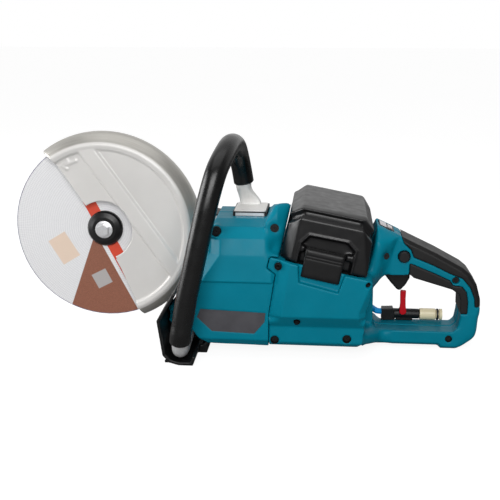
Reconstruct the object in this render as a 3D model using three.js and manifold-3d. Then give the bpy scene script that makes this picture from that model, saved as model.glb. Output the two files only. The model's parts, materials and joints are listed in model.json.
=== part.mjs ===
// Battery rescue saw (230 mm power cutter), assembled from separate parts. Millimetres, +Z up.
// Wheel at -X, rear handle at +X. The operator's left side, where the wheel is changed, is -Y.
import * as THREE from "three";
import { ConvexGeometry } from "three/addons/geometries/ConvexGeometry.js";
import { mergeVertices } from "three/addons/utils/BufferGeometryUtils.js";
import Module from "manifold-3d";

const wasm = await Module();
wasm.setup();

// ---------------------------------------------------------------- driving dimensions
const FRAME_SHIFT = [0.95, 17.65, 0]; // moves the drawing onto the middle of its own base
const GAP = 0.35; // between parts that touch
const WHEEL = { x: -177.3, z: 137.7, r: 115, near: 8.6, far: 11.1, bore: 11.1 };
const GUARD = { r: 122.5, wall: 2, near: -8, far: 30, flat: 109, hub: 37, collar: 30.5 };
const MOTOR = { x: -5, z: 104, stator: 32, shaft: 5 };
const PULLEY = { driven: 30, drive: 22, near: 58, far: 74 };
const COVER = { x: 99.5, z: 113.5, tilt: -0.2026, half: 72, chamfer: 12, wall: 3.4 };
const HANDLE = { half: 23.5, strap: 3.2 };
const TUBE = { r: 9.7, sleeve: 12.5 };
const SHELL = 3.2;

const group = new THREE.Group();

// ---------------------------------------------------------------- solid helpers
function solid(geometry) {
  const g = geometry.clone();
  g.deleteAttribute("normal");
  g.deleteAttribute("uv");
  const merged = mergeVertices(g, 1e-3);
  return new wasm.Manifold(
    new wasm.Mesh({
      numProp: 3,
      vertProperties: new Float32Array(merged.attributes.position.array),
      triVerts: new Uint32Array(merged.index.array),
    }),
  );
}

function shapeOf(points, holes = []) {
  const shape = new THREE.Shape(points.map(([x, y]) => new THREE.Vector2(x, y)));
  for (const hole of holes) shape.holes.push(new THREE.Path(hole.map(([x, y]) => new THREE.Vector2(x, y))));
  return shape;
}

// Outline in X,Z pushed through Y from y0 to y1, with an optional 45 degree chamfer on both faces.
function slabY(points, y0, y1, chamfer = 0, holes = []) {
  const geometry = new THREE.ExtrudeGeometry(shapeOf(points, holes), {
    depth: y1 - y0 - 2 * chamfer,
    bevelEnabled: chamfer > 0,
    bevelThickness: chamfer,
    bevelSize: chamfer,
    bevelOffset: -chamfer,
    bevelSegments: 1,
    curveSegments: 1,
  });
  geometry.rotateX(Math.PI / 2);
  geometry.translate(0, y1 - chamfer, 0);
  return solid(geometry);
}

// Outline in Y,Z pushed through X from x0 to x1.
function slabX(points, x0, x1) {
  const geometry = new THREE.ExtrudeGeometry(shapeOf(points), { depth: x1 - x0, bevelEnabled: false });
  geometry.rotateY(Math.PI / 2);
  geometry.rotateX(Math.PI / 2);
  geometry.translate(x0, 0, 0);
  return solid(geometry);
}

function box(x0, x1, y0, y1, z0, z1) {
  const geometry = new THREE.BoxGeometry(x1 - x0, y1 - y0, z1 - z0);
  geometry.translate((x0 + x1) / 2, (y0 + y1) / 2, (z0 + z1) / 2);
  return solid(geometry);
}

// Profile [radius, y] turned about the line x, z parallel to Y.
function turnY(profile, x, z, segments = 48) {
  const area = profile.reduce((sum, [r, y], i) => {
    const [r2, y2] = profile[(i + 1) % profile.length];
    return sum + r * y2 - r2 * y;
  }, 0);
  const points = (area > 0 ? profile : [...profile].reverse()).map(([r, y]) => new THREE.Vector2(r, y));
  if (points[0].x > 0 || points[points.length - 1].x > 0) points.push(points[0].clone());
  const geometry = new THREE.LatheGeometry(points, segments);
  geometry.translate(x, 0, z);
  const made = solid(geometry);
  return made;
}

function rodY(r, y0, y1, x, z, segments = 32) {
  return turnY([[0, y0], [r, y0], [r, y1], [0, y1]], x, z, segments);
}

function ringY(r0, r1, y0, y1, x, z, segments = 40) {
  return turnY([[r0, y0], [r1, y0], [r1, y1], [r0, y1]], x, z, segments);
}

function rodAlong(r, from, to, segments = 24) {
  const a = new THREE.Vector3(...from);
  const b = new THREE.Vector3(...to);
  const geometry = new THREE.CylinderGeometry(r, r, a.distanceTo(b), segments);
  geometry.applyQuaternion(
    new THREE.Quaternion().setFromUnitVectors(new THREE.Vector3(0, 1, 0), b.clone().sub(a).normalize()),
  );
  geometry.translate((a.x + b.x) / 2, (a.y + b.y) / 2, (a.z + b.z) / 2);
  return solid(geometry);
}

function circle(r, segments) {
  const points = [];
  for (let i = 0; i < segments; i += 1) {
    const a = (2 * Math.PI * i) / segments;
    points.push([r * Math.cos(a), r * Math.sin(a)]);
  }
  return points;
}

function pipe(points, r, sides, steps) {
  const path = new THREE.CatmullRomCurve3(points.map((p) => new THREE.Vector3(...p)), false, "centripetal");
  const geometry = new THREE.ExtrudeGeometry(shapeOf(circle(r, sides)), {
    extrudePath: path,
    steps,
    bevelEnabled: false,
    curveSegments: 1,
  });
  return solid(geometry);
}

function hull(points) {
  return solid(new ConvexGeometry(points.map((p) => new THREE.Vector3(...p))));
}

// The outline of two discs and the straight runs between them, as on a belt.
function beltOutline(a, ra, b, rb, steps = 20) {
  const dx = b.x - a.x;
  const dz = b.z - a.z;
  const length = Math.hypot(dx, dz);
  const heading = Math.atan2(dz, dx);
  const lean = Math.acos((ra - rb) / length);
  const points = [];
  for (let i = 0; i <= steps; i += 1) {
    const t = heading + lean + ((2 * Math.PI - 2 * lean) * i) / steps;
    points.push([a.x + ra * Math.cos(t), a.z + ra * Math.sin(t)]);
  }
  for (let i = 0; i <= steps; i += 1) {
    const t = heading - lean + (2 * lean * i) / steps;
    points.push([b.x + rb * Math.cos(t), b.z + rb * Math.sin(t)]);
  }
  return points;
}

// Moves every edge of an outline inwards by d.
function inset(points, d) {
  const n = points.length;
  let area = 0;
  for (let i = 0; i < n; i += 1) {
    const [x, y] = points[i];
    const [x2, y2] = points[(i + 1) % n];
    area += x * y2 - x2 * y;
  }
  const turn = area > 0 ? 1 : -1;
  const lines = points.map(([x, y], i) => {
    const [x2, y2] = points[(i + 1) % n];
    const l = Math.hypot(x2 - x, y2 - y);
    const nx = (-(y2 - y) / l) * turn;
    const ny = ((x2 - x) / l) * turn;
    return { nx, ny, c: nx * x + ny * y + d };
  });
  return points.map((p, i) => {
    const a = lines[(i + n - 1) % n];
    const b = lines[i];
    const det = a.nx * b.ny - a.ny * b.nx;
    if (Math.abs(det) < 1e-6) return [p[0] + b.nx * d, p[1] + b.ny * d];
    return [(a.c * b.ny - b.c * a.ny) / det, (a.nx * b.c - b.nx * a.c) / det];
  });
}

// Battery-bay frame: s runs rearwards along the cover's lower edge, t runs up the packs.
function bay(s, t) {
  const c = Math.cos(COVER.tilt);
  const n = Math.sin(COVER.tilt);
  return [COVER.x + s * c - t * n, COVER.z + s * n + t * c];
}

function bayBox(s0, s1, y0, y1, t0, t1, chamfer = 0) {
  return slabY([bay(s0, t0), bay(s1, t0), bay(s1, t1), bay(s0, t1)], y0, y1, chamfer);
}

function join(parts) {
  return parts.reduce((all, part) => all.add(part));
}

function add(name, made, color, roughness, metalness = 0) {
  const mesh = made.getMesh();
  const geometry = new THREE.BufferGeometry();
  const stride = mesh.numProp;
  const positions = new Float32Array((mesh.vertProperties.length / stride) * 3);
  for (let i = 0; i < positions.length / 3; i += 1) {
    positions.set(mesh.vertProperties.subarray(i * stride, i * stride + 3), i * 3);
  }
  geometry.setAttribute("position", new THREE.BufferAttribute(positions, 3));
  geometry.setIndex(new THREE.BufferAttribute(new Uint32Array(mesh.triVerts), 1));
  const node = new THREE.Mesh(geometry, new THREE.MeshStandardMaterial({ color, roughness, metalness }));
  node.name = name;
  group.add(node);
}

const TEAL = 0x00778a;
const BLACK = 0x18181a;
const STEEL = 0xb9bcc0;
const SILVER = 0xc9c5bf;
const ALUMINIUM = 0xa9acb0;

// ---------------------------------------------------------------- wheel, flanges and bolt
const { x: WX, z: WZ } = WHEEL;
add("cutting_disc", ringY(WHEEL.bore, WHEEL.r, WHEEL.near, WHEEL.far, WX, WZ, 64), 0xc8c8c6, 0.9);

const outerFlange = turnY(
  [[5.4, -0.6], [15, -0.6], [20.5, 2.2], [22.5, 5], [22.5, 8.25], [17, 8.25], [17, 7.2], [5.4, 7.2]],
  WX, WZ, 32,
);
add("outer_flange", outerFlange, 0x1c1c1e, 0.45, 0.4);

const innerFlange = turnY(
  [[8.3, 9], [10.8, 9], [10.8, 11.45], [22.5, 11.45], [22.5, 15], [14, 17.5], [8.3, 17.5]],
  WX, WZ, 28,
);
add("inner_flange", innerFlange, 0x2a2a2c, 0.4, 0.6);

const hexHead = solid(new THREE.CylinderGeometry(7.5, 7.5, 6, 6)).translate([WX, -5.6, WZ]);
const boltHead = turnY([[0, -1], [11, -1], [11, -2.2], [9, -2.8], [0, -2.8]], WX, WZ, 28);
add("wheel_bolt", join([hexHead, boltHead, rodY(5, -1.5, 30, WX, WZ, 24)]), STEEL, 0.35, 1);

const spindle = turnY(
  [[5.4, 9.3], [8, 9.3], [8, 78], [0, 78], [0, 31], [5.4, 31]],
  WX, WZ, 20,
);
add("spindle", spindle, 0x9a9da2, 0.3, 1);

// ---------------------------------------------------------------- wheel guard
const guardSection = [
  [GUARD.hub, GUARD.near],
  [GUARD.flat, GUARD.near],
  [GUARD.r, 6],
  [GUARD.r, 15],
  [111, GUARD.far],
  [GUARD.collar, GUARD.far],
  [GUARD.collar, GUARD.far - GUARD.wall],
  [110, GUARD.far - GUARD.wall],
  [GUARD.r - GUARD.wall, 14.4],
  [GUARD.r - GUARD.wall, 6.6],
  [GUARD.flat - 0.9, GUARD.near + GUARD.wall],
  [GUARD.hub, GUARD.near + GUARD.wall],
];
const guardEdgeTop = [-199.5, 170.3];
const guardEdgeLow = [-160.5, 100.1];
const guardAway = slabY(
  [[-265, 266.7], guardEdgeTop, [-183, 152], [-171, 118.5], guardEdgeLow, [-118, -10], [-330, -10], [-330, 300]],
  -20, GUARD.far - GUARD.wall - 0.05,
);
const guardAwayFar = slabY(
  [[-265, 266.7], [-213, 190.2], [-221, 138], [-196, 96], [-150, 82], [-118, -10], [-330, -10], [-330, 300]],
  GUARD.far - GUARD.wall - 0.05, GUARD.far + 10,
);
const guard = turnY(guardSection, WX, WZ, 60)
  .subtract(guardAway)
  .subtract(guardAwayFar);
add("wheel_guard", guard, SILVER, 0.4, 0.6);
add("guard_clamp_ring", ringY(30.35, 38, 22.8, 27.6, WX, WZ, 28), 0x3a3b3d, 0.4, 0.8);

// ---------------------------------------------------------------- cutting arm and belt drive
const armOutline = beltOutline({ x: WX, z: WZ }, 36, MOTOR, 35.5, 12);
const arm = slabY(armOutline, 32.4, 48)
  .add(rodY(30, 22.5, 33, WX, WZ, 28))
  .subtract(rodY(16.4, 26.6, 36.3, WX, WZ, 20))
  .subtract(rodY(16.4, 38.7, 49, WX, WZ, 20))
  .subtract(rodY(9, 20, 50, WX, WZ, 20))
  .subtract(rodY(13, 30, 50, MOTOR.x, MOTOR.z, 20));
add("cutting_arm", arm, ALUMINIUM, 0.5, 0.9);
add("spindle_bearing_near", ringY(8.4, 16, 27, 36, WX, WZ, 20), STEEL, 0.3, 1);
add("spindle_bearing_far", ringY(8.4, 16, 39, 47.6, WX, WZ, 20), STEEL, 0.3, 1);

function pulley(r, bore, x, z) {
  const { near, far } = PULLEY;
  const profile = [
    [bore, near - 4], [bore + 5, near - 4], [bore + 5, near], [r + 3.4, near], [r + 3.4, near + 1.5],
    [r, near + 1.5], [r, far - 1.5], [r + 3.4, far - 1.5], [r + 3.4, far], [bore, far],
  ];
  return turnY(profile, x, z, 24);
}
add("driven_pulley", pulley(PULLEY.driven, 8.25, WX, WZ), ALUMINIUM, 0.4, 0.9);
add("drive_pulley", pulley(PULLEY.drive, 5.25, MOTOR.x, MOTOR.z), ALUMINIUM, 0.4, 0.9);
const beltOuter = beltOutline(WHEEL, PULLEY.driven + 2.7, MOTOR, PULLEY.drive + 2.7, 12);
const beltInner = beltOutline(WHEEL, PULLEY.driven + 0.5, MOTOR, PULLEY.drive + 0.5, 12);
add("drive_belt", slabY(beltOuter, 60.4, 71.6).subtract(slabY(beltInner, 60, 72)), 0x141414, 0.8);

const coverOuter = beltOutline(WHEEL, 41, MOTOR, 36, 14);
const coverInner = beltOutline(WHEEL, 37.8, MOTOR, 32.8, 14);
const beltCover = slabY(coverOuter, 48.4, 88, 3)
  .intersect(slabY(coverOuter, 48.4, 88))
  .subtract(slabY(coverInner, 40, 84.5))
  .subtract(rodY(7.4, 80, 90, WX, WZ, 24));
const beltCoverRim = slabY(coverOuter, 48.4, 54).subtract(slabY(coverInner, 40, 60));
add("belt_cover", beltCover.add(beltCoverRim), BLACK, 0.5);
const lockButton = turnY([[0, 83.5], [7, 83.5], [7, 91], [6, 92], [0, 92]], WX, WZ, 24);
add("spindle_lock_button", lockButton, 0x2b2b2d, 0.5);

// ---------------------------------------------------------------- motor
const { x: MX, z: MZ } = MOTOR;
add("motor_stator", ringY(19, MOTOR.stator, -46, 2, MX, MZ, 28), 0x6c4a2a, 0.5, 0.4);
const rotor = turnY(
  [[0, -66], [5, -66], [5, -44], [18.3, -44], [18.3, 0], [5, 0], [5, 78], [0, 78]],
  MX, MZ, 20,
);
add("motor_rotor", rotor, 0x8a8d92, 0.35, 1);
const fanDisc = turnY([[5.3, 3], [9, 3], [9, 8.6], [30, 8.6], [30, 10], [5.3, 10]], MX, MZ, 24);
const blades = [];
for (let i = 0; i < 9; i += 1) {
  const blade = box(11, 29, -0.9, 0.9, -2.6, 3).rotate([-90, 0, 0]);
  blades.push(blade.translate([0, 6, 0]).rotate([0, (360 * i) / 9, 0]).translate([MX, 0, MZ]));
}
add("cooling_fan", join([fanDisc, ...blades]), 0x222224, 0.6);
add("motor_bearing_near", ringY(5.35, 10.5, -62, -54, MX, MZ, 20), STEEL, 0.3, 1);
add("motor_bearing_far", ringY(5.35, 10.5, 15, 23, MX, MZ, 20), STEEL, 0.3, 1);

// ---------------------------------------------------------------- motor housing halves
const motorSide = [
  [-56, 34], [-48.6, 24.1], [-38, 15.8], [35.2, 14.2], [35.2, 56], [42.6, 105.6], [32.6, 113.4], [36, 127.4],
  [47.2, 125.2], [58.9, 180.4], [60.5, 188], [41.6, 187.5], [37, 178], [29, 163.5], [-31, 163.5], [-37, 150], [-37, 128],
  [-53, 98], [-59, 60],
];
const motorFront = [[-66, 14], [-74, 24], [-74, 128], [-68, 147], [-57, 158.5], [-33, 163.5], [32, 163.5], [32, 14]];
const shoulderFront = [
  [-60, 112], [-62, 160], [-58.5, 176], [-53, 184.5], [-47, 186], [-41, 184.4], [-20, 177.6], [0, 171.5], [32, 163.8],
  [32, 112],
];
const motorBody = slabY(motorSide, -80, 32)
  .intersect(slabX(motorFront, -90, 90).add(slabX(shoulderFront, 30, 90)))
  .subtract(slabX([[-90, 130], [-62, 130], [-62, 200], [-90, 200]], 36, 90));
const frontBlock = slabY([[-87, 40], [-82, 31], [-52, 29], [-52, 74], [-76, 68], [-87, 56]], -60, -20, 3);
const guardSweep = rodY(GUARD.r + 2.6, -10.5, 40, WX, WZ, 56);
const motorInside = slabY(inset(motorSide, SHELL), -80, 32 - SHELL)
  .intersect(slabX(inset(motorFront, SHELL + 0.6), -90, 90).add(slabX(inset(shoulderFront, SHELL), 30, 90)))
  .intersect(slabX([[-57, 0], [-57, 155], [-71, 155], [-71, 0]], -90, 30).add(box(-90, 90, -70, 40, 0, 200)))
  .subtract(slabX([[-90, 126], [-62 + SHELL, 126], [-62 + SHELL, 200], [-90, 200]], 36 - SHELL, 90))
  .subtract(rodY(GUARD.r + 6, -14, 40, WX, WZ, 48));
const bossNear = ringY(10.95, 14.5, -72, -54.5, MX, MZ, 24).add(rodY(14.5, -72, -62.4, MX, MZ, 24));
const bossNearBore = rodY(5.6, -70, -60, MX, MZ, 24);
const bossFar = ringY(10.95, 14.5, 15.4, 31, MX, MZ, 24).add(rodY(14.5, 23.4, 31, MX, MZ, 24));
const padPocket = box(-12.4, 29.6, -21.4, 31.4, 162.4, 175);
const nearRecess = slabY([[-46.4, 61.4], [32.1, 58.3], [31.1, 46.9], [18.7, 31.7], [-32.5, 33.5], [-50.6, 50.7]], -80, -72.9);
function screwWell([x, z, r], y0, y1) {
  return rodY(r, y0, y1, x, z, 20);
}
// Housing screws: [name, x, z, well radius, y of the head's seat].
const MOTOR_SCREWS = [
  ["screw_motor_front", -27.6, 153.5, 6, -58],
  ["screw_shoulder", 41.1, 158.4, 6, -56],
];
const REAR_SCREWS = [
  ["screw_bottom_front", 42.4, 22.2, 5.2, -60],
  ["screw_bottom_rear", 128.6, 25.7, 5.2, -60],
  ["screw_neck", 173.5, 119.8, 5, -28],
  ["screw_grip_top", 258.8, 88.7, 4.6, -17],
  ["screw_grip_bottom", 254.2, 13.4, 4.4, -17],
];
function bossOf([, x, z, r, seat]) {
  return rodY(r + 1.4, seat - 1, -GAP / 2, x, z, 12);
}
function wellOf([, x, z, r, seat]) {
  return rodY(r, -95, seat, x, z, 14).add(rodY(2.2, seat - 1, -8, x, z, 8));
}
function addScrew([name, x, z, r, seat]) {
  const head = rodY(r - 0.9, seat - 3.4, seat - 0.35, x, z, 12);
  const socket = solid(new THREE.CylinderGeometry(1.9, 1.9, 4, 6)).translate([x, seat - 3.4, z]);
  add(name, head.add(rodY(1.8, seat - 1, -10, x, z, 6)).subtract(socket), 0x3c3d40, 0.4, 0.9);
}
const motorShell = motorBody.add(frontBlock).subtract(guardSweep).subtract(motorInside);
const halfNear = box(-100, 100, -100, -GAP / 2, 0, 220);
const halfFar = box(-100, 100, GAP / 2, 60, 0, 220);
const motorNear = motorShell
  .add(bossNear)
  .add(join(MOTOR_SCREWS.map(bossOf)))
  .add(rodY(7.4, -61, -50, 41.1, 158.4, 12))
  .subtract(bossNearBore)
  .intersect(halfNear)
  .subtract(padPocket)
  .subtract(nearRecess)
  .subtract(rodY(5.2, -70, -50, -84, 47, 20))
  .subtract(join(MOTOR_SCREWS.map(wellOf)));
add("motor_housing_left", motorNear, TEAL, 0.42);
MOTOR_SCREWS.forEach(addScrew);
const motorFar = motorShell
  .add(bossFar)
  .subtract(rodY(7, 10, 40, MX, MZ, 24))
  .intersect(halfFar)
  .subtract(padPocket);
add("motor_housing_right", motorFar, TEAL, 0.42);
const plateOutline = [[-46, 61], [31.7, 58], [30.7, 47.1], [18.5, 32.1], [-32.3, 33.9], [-50.1, 50.9]];
add("rating_plate", slabY(plateOutline, -74.3, -73.25), 0x3a3a3e, 0.45);
add("controller", box(-34, 28, -58, 20, 22, 42).add(box(-28, 22, -52, 14, 41, 48)), 0x2c2d30, 0.5);

// ---------------------------------------------------------------- rear housing halves
const baySide = [
  [35.6, 14.2], [141, 14], [148, 20], [150, 60], [158.5, 98], [158.5, 101.4], [151.2, 102.5], [47.4, 123.8],
  [36.6, 126.4], [33.4, 113.6], [43.3, 105.7], [35.6, 56],
];
const bayFront = [
  [-62, 14], [-68, 20], [-68, 40], [-80, 56], [-80, 130], [80, 130], [80, 56], [68, 40], [68, 20], [62, 14],
];
const bayBody = slabY(baySide, -84, 84)
  .intersect(slabX(bayFront, 0, 200))
  .intersect(slabY(
    [[24, 4], [153, 4], [166, 14], [168, 40], [169, 60], [178, 100], [178, 118], [40, 145], [24, 145]],
    -80, 80, 10,
  ));
const handleOuter = [
  [140, 14.5], [160, 4], [241, 4], [245, 0], [268.5, 0], [286.4, 13.5], [288.6, 19], [290.4, 52.9], [289.6, 65.3],
  [284.4, 83.5], [275.6, 96.7], [267, 103.8], [235, 121.1], [192.8, 141.2], [185.7, 144.6], [162.6, 155.4],
  [161.5, 150], [151.4, 102.6], [140, 96],
];
const handleHole = [
  [163, 25.5], [160.5, 32], [160, 76.8], [166.6, 85.6], [174.5, 93.2], [204, 94.6], [208.5, 90.6], [255.1, 77], [263.5, 71.1],
  [265.9, 62.5], [266.5, 40.3], [264.4, 27.5], [259, 22.5], [168, 22.5],
];
const handleBody = slabY(handleOuter, -HANDLE.half, HANDLE.half, 4).subtract(slabY(handleHole, -30, 30));
const neckFlat = [[140, 62], [151, 78], [158, 92], [161.3, 100.3], [162, 110], [164.3, 125.3], [168.5, 135], [160, 142], [140, 98]];
const neckRoot = [[140, 60], [158, 76], [166.6, 87], [173, 96], [178, 108], [188, 141.5], [162.8, 154.5], [140, 98]];
const neck = hull([
  ...neckFlat.flatMap(([x, z]) => [[x, -43, z], [x, 43, z]]),
  ...neckRoot.flatMap(([x, z]) => [[x, -23, z], [x, 23, z]]),
]).intersect(slabY([[127.5, 13], [166, 13], [200, 200], [172, 200], [151.7, 102.6]], -60, 60));
const strapOuter = [
  [191, 145], [194.9, 133.5], [203.8, 125.4], [207, 116.5], [230.9, 106.9], [251.9, 96.6], [267, 91], [276.8, 79.2],
  [282.2, 66], [283.4, 55], [300, 55], [300, 90], [270, 130], [200, 160],
];
const strapInner = [
  [202.4, 86], [202.8, 109.2], [234.9, 96.2], [252.4, 88.2], [256.1, 82.3], [266.5, 81.3], [272.6, 74.2],
  [274.9, 62.1], [274.9, 46.1], [255, 46.1], [255, 60],
];
const flare = hull([-1, 1].flatMap((side) => [
  [147, 67, 21], [147, 68, 31], [147, 61, 14], [158, 46, 10.5], [158, 46, 26.6], [172, 23.4, 4.2], [172, 23.4, 22.3],
].map(([x, y, z]) => [x, side * y, z])));
const handleCore = slabY(inset(handleOuter, HANDLE.strap), -HANDLE.half + HANDLE.strap, HANDLE.half - HANDLE.strap)
  .subtract(slabY(inset(handleHole, -HANDLE.strap), -30, 30));
const handleCoreTight = slabY(
  inset(handleOuter, HANDLE.strap + GAP), -HANDLE.half + HANDLE.strap + GAP, HANDLE.half - HANDLE.strap - GAP,
).subtract(slabY(inset(handleHole, -HANDLE.strap - GAP), -30, 30));
function strap(outline) {
  return handleBody.intersect(slabY(inset(outline, GAP / 2), -30, 30)).subtract(handleCore);
}
const triggerSlot = box(171.5, 212, -8.2, 8.2, 84, 101);
add("grip_outer", strap(strapOuter), 0x222224, 0.75);
add("grip_inner", strap(strapInner).subtract(triggerSlot), 0x222224, 0.75);
const strapRoom = slabY(inset(strapOuter, -GAP / 2), -30, 30)
  .add(slabY(inset(strapInner, -GAP / 2), -30, 30))
  .subtract(handleCoreTight);
const bayRoom = bayBox(-40.5, 42.5, -70, 70, -58, 4)
  .add(bayBox(-40.5, 42.5, -62.5, 62.5, -84, -40))
  .add(bayBox(-46, 46, -68, 68, -12, 4));
const latchWell = slabY([[69.2, 130], [70.6, 98.2], [116.9, 86.2], [120.6, 97.6], [125, 109], [125, 130]], -90, -73.5);
const switchRoom = box(182.5, 213, -10.5, 10.5, 100.4, 116);
const smallWells = join([
  screwWell([69.2, 48.5, 4], -90, -66),
  screwWell([46.5, 116.8, 4.4], -90, -74),
  screwWell([152.1, 97, 3.8], -90, -72),
]);
// Rear housing's top slope: u runs rearwards along it, v stands off it.
function slope(u, v) {
  return [162.6 + u * 0.9059 + v * 0.4235, 155.4 - u * 0.4235 + v * 0.9059];
}
function slopeBox(u0, u1, y0, y1, v0, v1) {
  return slabY([slope(u0, v0), slope(u1, v0), slope(u1, v1), slope(u0, v1)], y0, y1);
}
const panelSeat = slopeBox(2.6, 23, -13, 13, -3.4, 8);
const rearBody = bayBody
  .add(neck)
  .add(flare)
  .add(handleBody.subtract(strapRoom))
  .subtract(bayRoom)
  .subtract(triggerSlot)
  .subtract(switchRoom)
  .subtract(panelSeat);
const HINGE = { y: 87.5, t: -5, r: 3 };
function bayPoint(s, y, t) {
  const [x, z] = bay(s, t);
  return [x, y, z];
}
function hingeRod(r, s0, s1) {
  return rodAlong(r, bayPoint(s0, HINGE.y, HINGE.t), bayPoint(s1, HINGE.y, HINGE.t), 16);
}
const hingeLugs = join([-30, 30].map((s) =>
  hingeRod(5, s - 7, s + 7).add(bayBox(s - 7, s + 7, 72, HINGE.y, HINGE.t - 5, HINGE.t + 4.2)),
));
const hingeBore = hingeRod(3.35, -60, 60);
const bayTop = slabY([bay(-70, -0.4), bay(52.3, -0.4), bay(52.9, 80), bay(-70, 80)], -100, 100);
const triggerBore = rodY(1.95, -11.4, 11.4, 177.5, 97, 12);
const rearNear = rearBody
  .add(join(REAR_SCREWS.slice(0, 2).map(bossOf)))
  .subtract(bayTop)
  .intersect(box(30, 300, -100, -GAP / 2, -1, 220))
  .subtract(latchWell)
  .subtract(join(REAR_SCREWS.map(wellOf)))
  .subtract(smallWells)
  .subtract(triggerBore)
  .subtract(rodY(7.5, -60, -10, 195.7, 117.6, 20));
add("rear_housing_left", rearNear, TEAL, 0.42);
REAR_SCREWS.forEach(addScrew);
const rearFar = rearBody
  .subtract(bayTop)
  .add(hingeLugs)
  .intersect(box(30, 300, GAP / 2, 100, -1, 220))
  .subtract(hingeBore)
  .subtract(triggerBore);
add("rear_housing_right", rearFar, TEAL, 0.42);

// ---------------------------------------------------------------- controls
const panelHole = slopeBox(13.6, 20.4, -5.4, 5.4, -5, 5);
add("control_panel", slopeBox(2.95, 22.65, -12.65, 12.65, -3.05, 0.4).subtract(panelHole), 0x161618, 0.3);
add("power_button", slopeBox(14, 20, -5, 5, -1.4, 1.5), 0x3a3b3e, 0.5);
add("switch_module", box(183.5, 211.5, -9.5, 9.5, 101.6, 114.5), 0x202124, 0.6);
const triggerSide = [
  [175, 99.6], [172.4, 93.6], [172.7, 90.8], [181.2, 80.2], [189.4, 71], [191.8, 69.7], [194.6, 70], [200.2, 76.3],
  [204.9, 85.1], [205.4, 93.6], [184, 99.6],
];
const trigger = slabY(triggerSide, -7.4, 7.4, 1.5).subtract(rodY(2.05, -9, 9, 177.5, 97, 12));
add("trigger", trigger, BLACK, 0.5);
add("trigger_pin", rodY(1.6, -11, 11, 177.5, 97, 12), STEEL, 0.3, 1);
const lockOff = turnY([[0, -28.6], [5.6, -28.6], [6.9, -27.2], [6.9, -14], [0, -14]], 195.7, 117.6, 20);
add("lock_off_button", lockOff, BLACK, 0.5);

// ---------------------------------------------------------------- battery cover, latch and packs
const coverSide = [
  bay(-53.4, -14), bay(52.9, -14), bay(52.1, 0), bay(47.6, 55), bay(35, 69), bay(-38.8, 67.2), bay(-51, 55),
  bay(-52.7, 0),
];
const below = slabY([bay(-90, 0), bay(90, 0), bay(90, -90), bay(-90, -90)], -120, 120);
const latchPocket = [bay(-31.3, -6), bay(29.8, -6), bay(29.9, 27.8), bay(20.2, 35.3), bay(-23.8, 34.4), bay(-31.2, 24)];
const coverFace = [bay(-38.6, -14), bay(51.4, -14), bay(50.8, 3), bay(32.6, 66.4), bay(-38.4, 65.8)];
// The cover's end faces are narrower than its middle, so its upright edges are cut back but its top edge isn't.
function coverBlock(cut) {
  const ends = COVER.half - cut;
  const shoulder = COVER.half - COVER.chamfer - cut / 2;
  return hull([
    ...inset(coverSide, cut).flatMap(([x, z]) => [[x, -shoulder, z], [x, shoulder, z]]),
    ...inset(coverFace, cut).flatMap(([x, z]) => [[x, -ends, z], [x, ends, z]]),
  ]);
}
const coverInside = coverBlock(COVER.wall)
  .subtract(slabY(inset(latchPocket, -3), -80, -62.6));
const LATCH = { y: -70, t: 18.6 };
const knuckle = hingeRod(5, -22.6, 22.6)
  .add(bayBox(-22.6, 22.6, 66, HINGE.y, 0.2, 5.2))
  .add(bayBox(-22.6, 22.6, HINGE.y - 4.6, HINGE.y + 4.6, HINGE.t, 4.8));
const latchEars = [[-30.9, -26.4], [21.9, 29.6]].map(([s0, s1]) =>
  bayBox(s0, s1, -72.6, -65, LATCH.t - 3.5, LATCH.t + 3.5),
);
const latchBore = rodAlong(2.3, bayPoint(-29.4, LATCH.y, LATCH.t), bayPoint(28, LATCH.y, LATCH.t), 12);
const cover = coverBlock(0)
  .subtract(below)
  .subtract(coverInside.subtract(below).add(slabY(inset(coverSide, COVER.wall), -56, 56)))
  .subtract(slabY(latchPocket, -90, -65.6))
  .add(join(latchEars))
  .add(knuckle)
  .subtract(hingeBore)
  .subtract(latchBore);
add("battery_cover", cover, BLACK, 0.45);
add("cover_hinge_pin", hingeRod(HINGE.r, -36.8, 36.8), STEEL, 0.3, 1);
const latchBody = slabY([bay(-25.6, -14.4), bay(21.6, -14.4), bay(21.6, 21.4), bay(-25.6, 21.4)], -78.4, -74, 1.6)
  .add(slabY([bay(-25.6, 3), bay(21.2, 3), bay(21.2, 21.4), bay(-25.6, 21.4)], -76.5, -67.6, 1.6))
  .add(rodAlong(2, bayPoint(-28.9, LATCH.y, LATCH.t), bayPoint(27.4, LATCH.y, LATCH.t), 12));
add("cover_latch", latchBody, BLACK, 0.5);

function pack(name, y0, y1) {
  const corner = [[y0, -75], [y1, -75], [y1, y1 > 0 ? 18 : 46], [y1 > 0 ? y1 - 8.8 : y1, 46], [y0 < 0 ? y0 + 8.8 : y0, 46], [y0, y0 < 0 ? 18 : 46]];
  const block = hull([-36, 38].flatMap((s) => corner.map(([y, t]) => bayPoint(s, y, t))));
  const shell = block.add(bayBox(-30, 14, y0 + 11, y1 - 11, 45, 49));
  add("battery_pack_" + name, shell, 0x1d1d1f, 0.5);
  add("pack_button_" + name, bayBox(18, 32, y0 + 16, y1 - 16, 46.4, 50.6), 0xb3261e, 0.5);
}
pack("near", -59, -3);
pack("far", 3, 59);
add("terminal_block", bayBox(-30, 30, -55, 55, -83.4, -75.6), 0x2c2d30, 0.6);

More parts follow.
